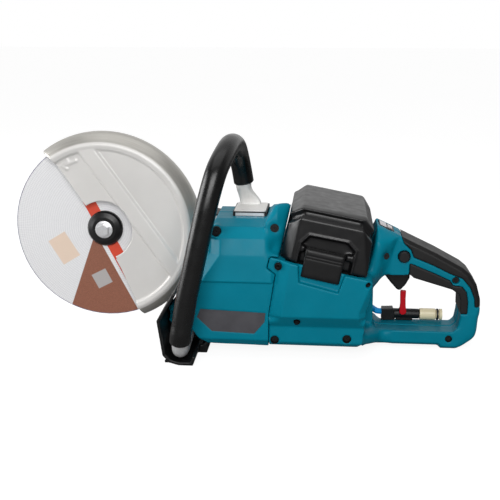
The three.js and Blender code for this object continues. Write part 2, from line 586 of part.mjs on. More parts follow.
// ---------------------------------------------------------------- front handle and skid
const tubePath = [
  [-69, -34, 15], [-68.5, -60, 15], [-67.5, -88, 16], [-65.5, -107, 24], [-63.8, -115, 40], [-61.2, -115, 56],
  [-56, -115, 85.5], [-49.7, -115, 113], [-40, -115, 156.6], [-30, -112, 200.7], [-21.6, -101, 232], [-15, -76, 248],
  [-11.5, -44, 253.4], [-9, -12, 247], [-7.4, 8, 232], [-4.6, 18, 212], [-1.6, 21, 192],
];
const tubeCore = pipe(tubePath, TUBE.r, 12, 30);
const foot = hull([
  ...circle(8.6, 10).map(([a, b]) => [-2 + a, 20.6 + b, 193]),
  ...[[-7, 9.4], [19, 9.4], [19, 30.6], [-7, 30.6]].flatMap(([x, y]) => [[x, y, 168.8], [x, y, 171.6]]),
]);
add("handle_tube", tubeCore.add(foot), STEEL, 0.35, 1);
const sleeveReach = box(-100, 60, -140, -50, 33, 290).add(box(-100, 60, -50.5, 60, 196, 290));
const sleeve = pipe(tubePath, TUBE.sleeve, 12, 30).subtract(pipe(tubePath, TUBE.r + 0.45, 12, 30)).intersect(sleeveReach);
add("handle_sleeve", sleeve, 0x202022, 0.7);
add("handle_bracket", box(-9, 26, -20.6, 30.4, 163.65, 167.15), 0xd0d2d4, 0.3, 1);
const pad = box(-12, 29.2, -21, 31, 162.75, 168.4).subtract(box(-9.4, 26.4, -30, 30.8, 163.3, 167.5));
add("bracket_pad", pad, 0x111113, 0.8);
const skidLine = [[-72, 88], [-92, 54], [-86, 12.5], [-79, 4.6], [-69, 1.9], [-53, 1.9], [-50.4, 11]];
// A strip of half width t along an open line.
function ribbon(line, t) {
  const side = (sign) => line.map(([x, y], i) => {
    const [ax, ay] = line[Math.max(i - 1, 0)];
    const [bx, by] = line[Math.min(i + 1, line.length - 1)];
    const before = new THREE.Vector2(x - ax, y - ay).normalize();
    const after = new THREE.Vector2(bx - x, by - y).normalize();
    const along = before.clone().add(after).normalize();
    const reach = t / Math.max(0.5, along.dot(after.lengthSq() > 0 ? after : before));
    return [x - along.y * reach * sign, y + along.x * reach * sign];
  });
  return [...side(1), ...side(-1).reverse()];
}
const skidBand = slabY(ribbon(skidLine, 1.9), -103, -16);
const skidBack = slabY(
  [[-90.5, 53], [-84.4, 13], [-78, 5.5], [-69, 1.5], [-54, 1.5], [-51.5, 12], [-50.8, 20.5], [-58.6, 33], [-61.5, 58]],
  -19.6, -16,
);
const skidBase = box(-69, -40, -60, -16, 0, 3.8).add(box(-48.5, -40, -60, -16, 0, 14.6).intersect(
  slabY([[-49, 0], [-40, 0], [-39.8, 14.6], [-41, 14.6], [-48.5, 8]], -70, 0),
));
const skidRibs = join([-98, -76].map((y) => box(-86, -53, y, y + 3, 1, 4.6)));
add("front_skid", skidBand.add(skidBack).add(skidBase).add(skidRibs), 0x151517, 0.6);

// ---------------------------------------------------------------- water supply
const VALVE = { x: 200, y: 20, z: 30.6, pivot: 36.6 };
const valve = rodAlong(6.4, [185, VALVE.y, VALVE.z], [221.6, VALVE.y, VALVE.z], 16)
  .add(rodY(4.6, 12.4, VALVE.y, VALVE.x, VALVE.pivot, 12))
  .add(box(192.3, 212.7, 14.7, 25.3, 22.9, 30))
  .add(hull([
    [173.6, 13.5, 22.9], [173.6, 26.5, 22.9], [173.6, 13.5, 37.8], [173.6, 26.5, 37.8],
    [188, 13.5, 38.6], [188, 26.5, 38.6], [190.6, 13.5, 23.6], [190.6, 26.5, 23.6],
  ]))
  .subtract(rodAlong(3, [217, VALVE.y, VALVE.z], [230, VALVE.y, VALVE.z], 10))
  .subtract(rodAlong(4.7, [160, VALVE.y, VALVE.z + 1.6], [177.8, VALVE.y, VALVE.z + 1.6], 12));
add("valve_body", valve, 0x1a1a1c, 0.5);
const lever = rodY(4.4, 8.4, 12, VALVE.x, VALVE.pivot, 16)
  .add(slabY([[-4.4, -1], [4.4, -1], [3.2, 8], [2.8, 17], [3, 27.6], [-3.4, 28.2], [-4.4, 26], [-3.8, 12]]
    .map(([x, z]) => [VALVE.x + x, VALVE.pivot + z]), 8.4, 12));
add("valve_lever", lever, 0xc4161c, 0.4);
const connectorProfile = [[2.6, 0], [7.2, 0], [7.2, 19], [5.6, 20.4], [5.6, 24], [7, 25], [7, 28], [2.6, 28]];
const connector = turnY(connectorProfile, 0, 0, 20).rotate([0, 0, -90]).translate([222, VALVE.y, VALVE.z]);
add("hose_connector", connector, 0xe2d9ad, 0.45);
const oring = turnY([[6, 20.9], [7.1, 20.9], [7.1, 23.4], [6, 23.4]], 0, 0, 20).rotate([0, 0, -90]);
add("connector_oring", oring.translate([222, VALVE.y, VALVE.z]), 0x101010, 0.6);
const hosePath = [
  [177, 20, 32.2], [172, 19.9, 32.2], [168.4, 22.3, 32.2], [165.2, 28, 32.1], [162.2, 36, 31.8], [158.4, 46, 32.4], [156.6, 60, 33.2],
  [149, 74.4, 33.5], [134, 76, 33.5], [90, 76, 33.5],
  [52, 76, 33.5], [36, 75, 33.5], [20, 60, 33.5], [2, 41, 34], [-30, 38, 38], [-70, 38, 54], [-98, 38.5, 70],
];
add("water_hose", pipe(hosePath, 3.9, 8, 34), 0x1398dc, 0.35);
const nozzle = hull([
  ...[[-112, 33, 76], [-97, 33, 70], [-97, 45, 70], [-112, 45, 76]],
  ...[[-112, 33, 87], [-97, 33, 84.5], [-97, 45, 84.5], [-112, 45, 87]],
]).subtract(pipe([[-96, 38.5, 69], [-98, 38.5, 70], [-102, 38.5, 72.5]], 4.4, 12, 6));
add("water_nozzle", nozzle, BLACK, 0.5);

group.position.set(...FRAME_SHIFT);
export default group;
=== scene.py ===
"""Rescue saw: the look of every piece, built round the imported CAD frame."""
import math

import bmesh
import bpy
import numpy as np
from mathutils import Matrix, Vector
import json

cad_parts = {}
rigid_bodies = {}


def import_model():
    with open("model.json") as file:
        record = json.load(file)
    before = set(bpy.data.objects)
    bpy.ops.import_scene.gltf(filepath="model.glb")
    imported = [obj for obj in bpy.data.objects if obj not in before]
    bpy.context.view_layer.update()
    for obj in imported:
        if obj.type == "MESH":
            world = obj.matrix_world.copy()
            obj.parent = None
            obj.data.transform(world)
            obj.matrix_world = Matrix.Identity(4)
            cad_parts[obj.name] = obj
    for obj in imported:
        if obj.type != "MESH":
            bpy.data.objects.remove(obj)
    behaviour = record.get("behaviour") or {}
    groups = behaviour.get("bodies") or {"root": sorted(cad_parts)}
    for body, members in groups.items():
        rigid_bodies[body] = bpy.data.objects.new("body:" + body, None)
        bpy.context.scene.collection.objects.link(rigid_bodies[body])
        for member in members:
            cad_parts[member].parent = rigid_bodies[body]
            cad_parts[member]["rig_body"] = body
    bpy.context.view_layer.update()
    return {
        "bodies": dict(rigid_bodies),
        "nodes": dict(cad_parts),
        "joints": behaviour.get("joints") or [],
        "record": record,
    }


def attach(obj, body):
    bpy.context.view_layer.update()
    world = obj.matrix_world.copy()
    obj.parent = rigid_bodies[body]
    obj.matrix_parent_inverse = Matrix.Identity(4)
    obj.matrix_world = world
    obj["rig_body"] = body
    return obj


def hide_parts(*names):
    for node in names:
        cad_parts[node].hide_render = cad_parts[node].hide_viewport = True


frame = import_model()
NODES = frame["nodes"]
SLOTS = {sub["node"]: sub["material_slot"] for sub in frame["record"]["subparts"]}
SHIFT = np.array([0.95, 17.65, 0.0])  # the design's own origin, mm, to the row frame
WX, WZ = -177.3, 137.7  # wheel axis, design mm
TILT = -0.2026  # slope of the battery bay, radians
BAY_X, BAY_Z = 99.5, 113.5  # middle of the bay's top plane, design mm
BUTTON, BUTTON_BORE = (195.7, 117.6), 7.5  # lock-off button's axis (x, z) and the radius of its bore
TUBE_RADIUS, SLEEVE_RADIUS = 9.7, 12.45  # front handle, mm
BEVEL_ANGLE = 28.0  # degrees; edges sharper than this are rounded


def row(p):
    """Design millimetres to row-frame metres."""
    return (np.asarray(p, float) + SHIFT) / 1000.0


def design(p):
    """Row-frame metres to design millimetres."""
    return np.asarray(p, float) * 1000.0 - SHIFT


def step(a, b, x):
    """Smooth 0 to 1 as x goes from a to b."""
    t = np.clip((np.asarray(x, float) - a) / (b - a), 0, 1)
    return t * t * (3 - 2 * t)


# ---------------------------------------------------------------- materials
MATERIALS = {}


class Shader:
    """A Principled material with the few node chains that the pieces share."""

    def __init__(self, name, rough, metallic=0.0, **sockets):
        self.mat = bpy.data.materials.new(name)
        self.mat.use_nodes = True
        self.tree = self.mat.node_tree
        self.tree.nodes.clear()
        self.out = self.new("ShaderNodeOutputMaterial")
        self.bsdf = self.new("ShaderNodeBsdfPrincipled")
        self.link(self.bsdf.outputs[0], self.out.inputs[0])
        self.coord = self.new("ShaderNodeTexCoord").outputs["Object"]
        self.bsdf.inputs["Metallic"].default_value = metallic
        self.bsdf.inputs["Roughness"].default_value = rough
        for key, value in sockets.items():
            self.bsdf.inputs[key.replace("_", " ")].default_value = value
        MATERIALS[name] = self.mat

    def new(self, kind, **values):
        node = self.tree.nodes.new(kind)
        for key, value in values.items():
            setattr(node, key, value)
        return node

    def link(self, a, b):
        self.tree.links.new(a, b)

    def put(self, socket, value):
        if isinstance(value, (int, float)):
            socket.default_value = value
        elif isinstance(value, tuple):
            socket.default_value = value + (1.0,)
        else:
            self.link(value, socket)

    def math(self, op, a, b=0.0, c=0.0):
        node = self.new("ShaderNodeMath", operation=op)
        for socket, value in zip(node.inputs, (a, b, c)):
            self.put(socket, value)
        return node.outputs[0]

    def noise(self, scale, detail=3.0, rough=0.55, stretch=None):
        node = self.new("ShaderNodeTexNoise")
        node.inputs["Scale"].default_value = scale
        node.inputs["Detail"].default_value = detail
        node.inputs["Roughness"].default_value = rough
        source = self.coord
        if stretch:
            mapping = self.new("ShaderNodeMapping")
            mapping.inputs["Scale"].default_value = stretch
            self.link(source, mapping.inputs[0])
            source = mapping.outputs[0]
        self.link(source, node.inputs["Vector"])
        return node.outputs[0]

    def span(self, value, a, b, c, d):
        node = self.new("ShaderNodeMapRange")
        for socket, v in zip(node.inputs, (value, a, b, c, d)):
            self.put(socket, v)
        return node.outputs[0]

    def mix(self, factor, a, b):
        node = self.new("ShaderNodeMix", data_type="RGBA")
        self.put(node.inputs[0], factor)
        self.put(node.inputs[6], a)
        self.put(node.inputs[7], b)
        return node.outputs[2]

    def colour(self, value):
        self.link(value, self.bsdf.inputs["Base Color"])

    def rough(self, value):
        self.link(value, self.bsdf.inputs["Roughness"])

    def bump(self, height, distance, strength):
        node = self.new("ShaderNodeBump")
        node.inputs["Distance"].default_value = distance
        node.inputs["Strength"].default_value = strength
        self.link(height, node.inputs["Height"])
        self.link(node.outputs[0], self.bsdf.inputs["Normal"])

    def edge(self):
        """0 on flat ground, 1 on an outward edge."""
        return self.span(self.new("ShaderNodeNewGeometry").outputs["Pointiness"], 0.52, 0.6, 0.0, 1.0)


def shade(c, k):
    return tuple(max(0.0, min(1.0, v * k)) for v in c)


def plastic(name, base, rough, grain, depth, spread, wear, worn, **sockets):
    """Moulded plastic or rubber: faint mottling, a fine grain and slightly paler rubbed edges."""
    s = Shader(name, rough, **sockets)
    cloud = s.noise(22.0, 4.0)
    ground = s.mix(s.span(cloud, 0.3, 0.7, 0.0, 1.0), shade(base, 1 - spread), shade(base, 1 + spread))
    edge = s.math("MULTIPLY", s.edge(), s.span(s.noise(60.0, 5.0), 0.35, 0.65, 0.15, wear))
    s.colour(s.mix(edge, ground, worn))
    fine = s.noise(grain, 2.0, 0.6)
    s.rough(s.span(s.noise(90.0, 4.0), 0.3, 0.7, rough - 0.05, rough + 0.06))
    s.bump(fine, depth, 0.5)


def metal(name, base, rough, stretch=(1, 1, 1), scale=160.0, spread=0.12, depth=0.00001, metallic=1.0, **sockets):
    """Bare metal with drawn or machined marks along the unstretched direction."""
    s = Shader(name, rough, metallic, **sockets)
    marks = s.noise(scale, 4.0, 0.6, stretch=stretch)
    s.colour(s.mix(s.span(marks, 0.3, 0.7, 0.0, 1.0), shade(base, 1 - spread), shade(base, 1 + spread)))
    s.rough(s.span(marks, 0.3, 0.7, rough - 0.06, rough + 0.08))
    s.bump(marks, depth, 0.4)


# Base colour, roughness, grain scale, grain depth in metres, mottling, edge wear, worn colour, specular level.
PLASTICS = {
    "teal_shell": ((0.0, 0.19, 0.275), 0.4, 1300.0, 0.00002, 0.05, 0.35, (0.01, 0.32, 0.42), 0.12),
    "black_cover": ((0.0042, 0.0041, 0.0046), 0.36, 1400.0, 0.00001, 0.1, 0.3, (0.05, 0.05, 0.055), 0.45),
    "black_plastic": ((0.004, 0.004, 0.0044), 0.42, 1200.0, 0.00004, 0.12, 0.3, (0.04, 0.04, 0.042), 0.35),
    "grip_rubber": ((0.006, 0.0056, 0.0056), 0.5, 1000.0, 0.00007, 0.15, 0.25, (0.03, 0.03, 0.031), 0.4),
    "sleeve_rubber": ((0.0035, 0.0035, 0.0036), 0.28, 900.0, 0.00001, 0.1, 0.1, (0.02, 0.02, 0.02), 0.45),
    "red_plastic": ((0.5, 0.003, 0.01), 0.35, 800.0, 0.00002, 0.08, 0.3, (0.6, 0.06, 0.06), 0.3),
    "cream_plastic": ((0.8, 0.7, 0.45), 0.38, 700.0, 0.00002, 0.06, 0.3, (0.8, 0.75, 0.58), 0.5),
    "blue_hose": ((0.0, 0.36, 0.86), 0.3, 500.0, 0.00001, 0.06, 0.1, (0.1, 0.5, 0.9), 0.5),
    "plate_grey": ((0.058, 0.056, 0.064), 0.42, 2200.0, 0.00001, 0.05, 0.5, (0.1, 0.1, 0.11), 0.3),
    # inner_black also lines the screw wells as painted shade.
    "inner_black": ((0.004, 0.004, 0.0042), 0.5, 1100.0, 0.00003, 0.12, 0.3, (0.02, 0.02, 0.021), 0.12),
    "lens_grey": ((0.55, 0.52, 0.53), 0.22, 300.0, 0.00001, 0.05, 0.3, (0.7, 0.68, 0.68), 0.5),
}
for name, (*look, specular) in PLASTICS.items():
    plastic(name, *look, Specular_IOR_Level=specular)
metal("bright_steel", (0.76, 0.76, 0.77), 0.36, scale=420.0, spread=0.05, metallic=0.6)
metal("pressed_steel", (0.78, 0.77, 0.75), 0.42, stretch=(1, 1, 0.1), scale=300.0, spread=0.05, metallic=0.25)
metal("dark_steel", (0.006, 0.006, 0.0065), 0.34, scale=500.0, spread=0.15, metallic=0.1)
metal("cast_aluminium", (0.52, 0.52, 0.53), 0.5, scale=700.0, depth=0.00005)
metal("motor_iron", (0.2, 0.15, 0.1), 0.5, stretch=(1, 30, 1))


def wheel_coords(s):
    """Shader values of a point about the wheel's axis: across (x), up (z) and radius, in mm."""
    split = s.new("ShaderNodeSeparateXYZ")
    s.link(s.coord, split.inputs[0])
    x = s.math("SUBTRACT", s.math("MULTIPLY", split.outputs[0], 1000.0), WX + SHIFT[0])
    z = s.math("SUBTRACT", s.math("MULTIPLY", split.outputs[2], 1000.0), WZ)
    r = s.math("SQRT", s.math("ADD", s.math("MULTIPLY", x, x), s.math("MULTIPLY", z, z)))
    y = s.math("SUBTRACT", s.math("MULTIPLY", split.outputs[1], 1000.0), SHIFT[1])
    return x, z, r, y


def along(s, x, z, a, b):
    """a·x + b·z."""
    return s.math("ADD", s.math("MULTIPLY", x, a), s.math("MULTIPLY", z, b))


def between(s, value, low, high, soft=0.35):
    """1 where low < value < high, with a soft edge in mm."""
    up = s.span(value, low - soft, low + soft, 0.0, 1.0)
    down = s.span(value, high - soft, high + soft, 1.0, 0.0)
    return s.math("MULTIPLY", up, down)


def guard_material():
    """Silver paint over pressed sheet; the band round the rim has brushed marks and is painted darker and partly
    metallic, as painted shade and reflection of its outward-facing bevel.
    """
    s = Shader("guard_paint", 0.36, 0.1)
    x, z, r, y = wheel_coords(s)
    angle = s.math("ARCTAN2", z, x)
    marks = s.new("ShaderNodeTexNoise")
    marks.inputs["Scale"].default_value = 1.0
    marks.inputs["Detail"].default_value = 4.0
    joined = s.new("ShaderNodeCombineXYZ")
    s.put(joined.inputs[0], s.math("MULTIPLY", angle, 3.0))
    s.put(joined.inputs[1], s.math("MULTIPLY", r, 2.2))
    s.put(joined.inputs[2], s.math("MULTIPLY", y, 2.2))
    s.link(joined.outputs[0], marks.inputs["Vector"])
    band = s.span(r, 110.5, 112.0, 0.0, 1.0)
    cloud = s.noise(16.0, 4.0)
    paint = s.mix(s.span(cloud, 0.3, 0.7, 0.0, 1.0), (0.66, 0.645, 0.625), (0.71, 0.695, 0.675))
    # bare is the rim band's colour, darker than the paint: painted shade and reflection of the outward-facing bevel.
    bare = s.mix(s.span(marks.outputs[0], 0.3, 0.7, 0.0, 1.0), (0.42, 0.405, 0.375), (0.53, 0.515, 0.48))
    s.colour(s.mix(band, paint, bare))
    s.rough(s.span(marks.outputs[0], 0.3, 0.7, 0.3, 0.42))
    s.put(s.bsdf.inputs["Metallic"], s.span(band, 0.0, 1.0, 0.08, 0.6))
    s.bump(s.noise(1400.0, 2.0), 0.00002, 0.4)


def disc_material():
    """Woven abrasive face printed with a red band, a thin red line, a brown sector and two plain patches."""
    s = Shader("abrasive_disc", 0.62)
    x, z, r, y = wheel_coords(s)
    angle = s.math("ARCTAN2", z, x)
    spiral = s.math("SINE", s.math("ADD", s.math("MULTIPLY", angle, 150.0), s.math("MULTIPLY", r, 1.1)))
    counter = s.math("SINE", s.math("SUBTRACT", s.math("MULTIPLY", angle, 150.0), s.math("MULTIPLY", r, 1.1)))
    weave = s.math("MULTIPLY", spiral, counter)
    grit = s.noise(1200.0, 3.0, 0.7)
    ground = s.mix(s.span(weave, -0.6, 0.6, 0.0, 1.0), (0.73, 0.73, 0.745), (0.85, 0.85, 0.86))
    ground = s.mix(s.span(grit, 0.35, 0.6, 0.22, 0.0), ground, (0.5, 0.5, 0.52))
    across, length = along(s, x, z, 0.889, 0.458), along(s, x, z, 0.458, -0.889)
    beside, below = along(s, x, z, 0.853, 0.522), along(s, x, z, 0.522, -0.853)
    right = s.span(across, -15.8, -15.1, 1.0, 0.0)
    left = s.span(along(s, x, z, 0.941, -0.339), -11.2, -10.5, 0.0, 1.0)
    sector = s.math("MULTIPLY", s.math("MULTIPLY", right, left), s.span(z, -12.0, -11.0, 1.0, 0.0))
    brown = s.mix(s.span(grit, 0.3, 0.7, 0.0, 1.0), (0.21, 0.075, 0.042), (0.33, 0.13, 0.08))
    red = s.math("MULTIPLY", between(s, across, -10.0, 5.0), s.span(r, 42.6, 43.4, 1.0, 0.0))
    line = s.math("MULTIPLY", between(s, across, -10.0, -8.7, 0.2), s.span(z, -24.0, -22.0, 1.0, 0.0))
    label = s.math("MULTIPLY", between(s, beside, -74.8, -49.1), between(s, below, -22.9, 13.1))
    square = s.math("MULTIPLY", between(s, across, -48.0, -27.5), between(s, length, 46.5, 66.5))
    c = s.mix(sector, ground, brown)
    c = s.mix(s.math("MAXIMUM", red, line), c, (0.66, 0.062, 0.026))
    c = s.mix(label, c, (0.78, 0.62, 0.5))
    c = s.mix(s.math("MULTIPLY", square, 0.9), c, (0.45, 0.44, 0.44))
    print_side = s.span(y, 8.9, 9.4, 1.0, 0.0)
    c = s.mix(print_side, ground, c)
    c = s.mix(s.span(r, 113.9, 114.4, 0.0, 1.0), c, (0.11, 0.11, 0.2))
    s.colour(c)
    s.rough(s.span(grit, 0.3, 0.7, 0.5, 0.75))
    s.bump(s.math("ADD", s.math("MULTIPLY", weave, 0.5), grit), 0.00012, 0.6)


guard_material()
disc_material()

# ---------------------------------------------------------------- piece helpers


def dress(obj, body, slot, stands_for=(), paint=None):
    """Links, rides and paints one piece and hides the CAD nodes it stands for; paint names a material other than its
    slot's own.
    """
    if obj.name not in bpy.context.scene.collection.objects:
        bpy.context.scene.collection.objects.link(obj)
    obj.data.materials.clear()
    obj.data.materials.append(MATERIALS[paint or slot])
    obj.data.shade_smooth()
    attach(obj, body)
    if stands_for:
        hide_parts(*stands_for)


def mesh_piece(name, verts, faces):
    """An object from row-frame vertices and faces, normals out."""
    mesh = bpy.data.meshes.new(name)
    mesh.from_pydata([tuple(v) for v in verts], [], [tuple(f) for f in faces])
    mesh.validate()
    bm = bmesh.new()
    bm.from_mesh(mesh)
    bmesh.ops.remove_doubles(bm, verts=bm.verts, dist=1e-6)
    bmesh.ops.recalc_face_normals(bm, faces=bm.faces)
    bm.to_mesh(mesh)
    bm.free()
    return bpy.data.objects.new(name, mesh)


def loft(rings, caps=True, wrap=False):
    """Faces joining equal closed rings, end to end or wrapped back to the first; returns vertices and faces."""
    n = len(rings[0])
    verts = [v for ring in rings for v in ring]
    faces = []
    for i in range(len(rings) - (0 if wrap else 1)):
        after = (i + 1) % len(rings)
        for j in range(n):
            k = (j + 1) % n
            faces.append((i * n + j, i * n + k, after * n + k, after * n + j))
    if caps:
        faces.append(tuple(range(n)))
        faces.append(tuple((len(rings) - 1) * n + j for j in range(n)))
    return verts, faces


def bevelled(obj, width, segments):
    """Rounds a CAD node's edges by modifiers, width in mm, without touching its mesh."""
    mod = obj.modifiers.new("edge", "BEVEL")
    mod.width = width / 1000.0
    mod.segments = segments
    mod.limit_method = "ANGLE"
    mod.angle_limit = math.radians(BEVEL_ANGLE)
    mod.harden_normals = False
    mod.use_clamp_overlap = True
    obj.modifiers.new("normals", "WEIGHTED_NORMAL").keep_sharp = False


# ---------------------------------------------------------------- guard
ARROW = (((-41.5, 88.0), (-49.5, 81.2)), ((-49.5, 81.2), (-42.5, 77.0)), ((-46.5, 81.4), (-31.0, 87.4)))


def segment(x, z, a, b):
    """Distance from x, z to the line a-b."""
    u = np.subtract(b, a)
    k = np.clip(((x - a[0]) * u[0] + (z - a[1]) * u[1]) / (u @ u), 0, 1)
    return math.hypot(x - a[0] - k * u[0], z - a[1] - k * u[1])


GUARD_NEAR, GUARD_FAR = -8.0, 30.0  # the guard's outer faces, design y
GUARD_SHEET = 1.9  # wall thickness
GUARD_RIM = [
    (104, -8.0), (105.4, -8.5), (107, -8.75), (108.6, -8.5), (110, -7.8), (111.4, -7.0), (113.5, -5.6), (116, -3.2),
    (118.4, -0.4), (120.4, 2.4), (121.8, 4.9), (122.5, 7.4), (122.6, 10.0), (122.5, 13.0), (121.8, 15.6), (119, 20.0),
    (115, 25.6), (112.6, 28.6), (110.6, 29.8),
]
PANEL_ARC = 101.5  # outer radius of the two sunk panels
STRIP = (35.2, 54.6)  # the raised strip between them, along its normal
STRIP_NORMAL = (0.815, 0.579)
PANEL_DEPTH, ARROW_HEIGHT = 3.4, 1.1


def guard_piece():
    """Pressed guard: bead round the rim, one raised strip, two sunk panels, rolled rim and far wall."""
    near = [(r, GUARD_NEAR) for r in np.arange(37.0, 104.0, 1.4)]
    far = [(r, GUARD_FAR) for r in (108, 96, 84, 72, 60, 50, 42, 36, 30.5)]
    outer = near + GUARD_RIM + far
    inner = []
    for i, (r, y) in enumerate(outer):
        a = np.array(outer[max(0, i - 1)], float)
        b = np.array(outer[min(len(outer) - 1, i + 1)], float)
        t = (b - a) / np.linalg.norm(b - a)
        inner.append((r - t[1] * GUARD_SHEET, y + t[0] * GUARD_SHEET))
    section = outer + inner[::-1]
    n_out = len(outer)
    rings = []
    thetas = np.radians(np.concatenate([[-67.2, -66.9], np.arange(-66.0, 123.6, 0.8), [123.9, 124.2]]))
    for k, th in enumerate(thetas):
        ring = []
        edge = min(k, len(thetas) - 1 - k)
        for i, (r, y) in enumerate(section):
            top = step(104, 122, r) * math.radians(3.2) * step(100, 124.2, math.degrees(th))
            a = th + top
            x, z = r * math.cos(a), r * math.sin(a)
            if r < 108 and y < 5:
                d = STRIP_NORMAL[0] * x + STRIP_NORMAL[1] * z
                panel = max(min(d - STRIP[1], PANEL_ARC - r), min(STRIP[0] - d, PANEL_ARC - r))
                mark = min(segment(x, z, *ends) for ends in ARROW)
                y = y + PANEL_DEPTH * float(step(-1.3, 1.6, panel)) - ARROW_HEIGHT * float(step(2.6, 1.2, mark))
            if edge == 0 and i < n_out:
                y = y + 0.35 * (1 if y < 10 else 0)
            ring.append(row((WX + x, y, WZ + z)))
        rings.append(ring)
    verts, faces = loft(rings)
    body = mesh_piece("guard_shell", verts, faces)
    dress(body, "guard", "guard_paint", ["wheel_guard"])
    rings = []
    for th in np.radians(np.arange(123.6, 293.6, 3.0)):
        reach = 44.5 + 3.0 * math.cos(th - math.radians(122))
        ring = [(30.5, 28.1), (reach - 0.6, 28.1), (reach, 28.6), (reach, 29.4), (reach - 0.6, 29.95), (30.5, 29.95)]
        rings.append([row((WX + r * math.cos(th), y, WZ + r * math.sin(th))) for r, y in ring])
    verts, faces = loft(rings)
    dress(mesh_piece("guard_collar", verts, faces), "guard", "guard_paint")


guard_piece()


# ---------------------------------------------------------------- moulded pieces
def bay_axes(p):
    """Slope coordinates of the battery bay: along (s) and off (t) its top plane."""
    c, k = math.cos(TILT), math.sin(TILT)
    dx, dz = p[:, 0] - BAY_X, p[:, 2] - BAY_Z
    return dx * c + dz * k, -dx * k + dz * c


def softened(p, mesh, weight, rounds):
    """Blends each point towards its neighbours, as far as weight (0 to 1) allows."""
    n = len(p)
    ends = np.empty(len(mesh.edges) * 2, int)
    mesh.edges.foreach_get("vertices", ends)
    a, b = ends[::2], ends[1::2]
    count = np.bincount(a, minlength=n) + np.bincount(b, minlength=n)
    w = (0.9 * weight / np.maximum(count, 1))[:, None]
    for _ in range(rounds):
        total = np.stack([np.bincount(a, p[b, k], n) + np.bincount(b, p[a, k], n) for k in range(3)], 1)
        p = p + w * (total - count[:, None] * p)
    return p


def moulded(node, voxel, rounds, shape=None, soft=None):
    """A CAD node's form with moulded radii on every edge, then shape(points, normals) for its relief, in design mm."""
    source = NODES[node]
    body = source["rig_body"]
    obj = bpy.data.objects.new(node + "_src", source.data.copy())
    bpy.context.scene.collection.objects.link(obj)
    mod = obj.modifiers.new("remesh", "REMESH")
    mod.mode = "VOXEL"
    mod.voxel_size = voxel / 1000.0
    smooth = obj.modifiers.new("smooth", "SMOOTH")
    smooth.factor, smooth.iterations = 0.5, rounds
    dg = bpy.context.evaluated_depsgraph_get()
    mesh = bpy.data.meshes.new_from_object(obj.evaluated_get(dg))
    bpy.data.objects.remove(obj)
    if shape:
        n = len(mesh.vertices)
        co = np.empty(n * 3)
        no = np.empty(n * 3)
        mesh.vertices.foreach_get("co", co)
        mesh.vertices.foreach_get("normal", no)
        p = design(co.reshape(-1, 3))
        if soft:
            p = softened(p, mesh, soft(*p.T), 60)
        p = shape(p, no.reshape(-1, 3))
        mesh.vertices.foreach_set("co", row(p).ravel())
        mesh.update()
    made = bpy.data.objects.new(node + "_skin", mesh)
    mesh.name = made.name
    dress(made, body, SLOTS[node], [node])


def motor_relief(p, n):
    """Front facet, the crease above the name field and the hollow under the shoulder."""
    x, y, z = p.T.copy()
    near = step(-30, -56, y)
    bound = np.interp(z, [80, 99.5, 128, 160], [-54.4, -41.4, -22.4, -22.4])
    lean = np.interp(z, [99.5, 120, 128], [0.832, 0.86, 1.0])
    off = np.clip((bound - x) * lean, 0, 12)
    facet = 0.95 * off * step(149, 144, z) * step(88, 96, z)
    bulge = 2.8 * np.clip((128 - z) / 31.4, 0, 1) * step(94.6, 96.4, z) * step(-48, -43, x) * step(41.5, 37.5, x)
    hollow = 8.0 * np.exp(-(((x - 52) / 13.0) ** 2 + ((z - 140) / 13.0) ** 2)) * step(30, 42, x)
    lean = 0.75 * np.clip(x - 44, 0, 30) * step(126, 136, z)
    p[:, 1] = y + near * (facet - bulge + np.maximum(hollow, lean))
    return p


def rear_relief(p, n):
    """The bay's near face drawn back to the seam and to the handle, and the lock-off button's bore kept round."""
    x, y, z = p.T.copy()
    near = step(-70.6, -78.5, y)
    front = np.clip((np.interp(z, [59.1, 121.6], [50.8, 60.7]) - x) * 0.55, 0, 7.5) * step(40, 57, z)
    corner = np.interp(z, [30, 45.8, 62.4, 93.9, 104], [141.0, 141.8, 141.3, 153.2, 157])
    back = np.clip((x - corner) * 0.85, 0, 7.5)
    p[:, 1] = y + near * np.maximum(front, back)
    dx, dz = x - BUTTON[0], z - BUTTON[1]
    reach = np.hypot(dx, dz)
    grow = np.where((y < -8) & (reach < BUTTON_BORE + 0.2), np.maximum(BUTTON_BORE / np.maximum(reach, 1), 1), 1)
    p[:, 0], p[:, 2] = BUTTON[0] + dx * grow, BUTTON[1] + dz * grow
    return p


def latch_relief(p, n):
    """Two shallow bars across the latch's upper end."""
    t = bay_axes(p)[1]
    bars = sum(0.35 * np.exp(-(((t - c) / 0.9) ** 2)) for c in (13.6, 10.2))
    p[:, 1] += bars * step(-0.4, -0.9, n[:, 1])
    return p


def away(s, t, a, b):
    """Distance of every s, t from the line a-b."""
    u = np.subtract(b, a)
    k = np.clip(((s - a[0]) * u[0] + (t - a[1]) * u[1]) / (u @ u), 0, 1)
    return np.hypot(s - a[0] - k * u[0], t - a[1] - k * u[1])


def cover_relief(p, n):
    """The groove under the cap on all four sides, the rim of the latch pocket and the fuller front corner."""
    s, t = bay_axes(p)
    frame = [(-33.2, 0), (-33.2, 25), (-25, 36.6), (20.8, 37.6), (31.9, 29), (31.9, 0)]
    rim = np.minimum.reduce([away(s, t, a, b) for a, b in zip(frame, frame[1:])])
    near = step(-0.5, -0.85, n[:, 1]) * step(-60, -66, p[:, 1])
    p[:, 1] -= 1.5 * near * np.exp(-((rim / 1.5) ** 2))
    p[:, 0] -= 1.7 * step(30, 50, t) * step(68, 60, t) * step(-47, -50, s)
    top = np.interp(s, [-53, -51, -38.8, 35, 47.6, 53], [50, 55, 66.8, 67.6, 55, 50])
    below = top - t
    c, k = math.cos(TILT), math.sin(TILT)
    nt = -n[:, 0] * k + n[:, 2] * c
    out = (s * (n[:, 0] * c + n[:, 2] * k) + p[:, 1] * n[:, 1] > 0) & (abs(nt) < 0.75)
    depth = 4.4 * step(0.4, 6.4, below) * step(14.5, 8.4, below)
    return p - n * (depth * out)[:, None]


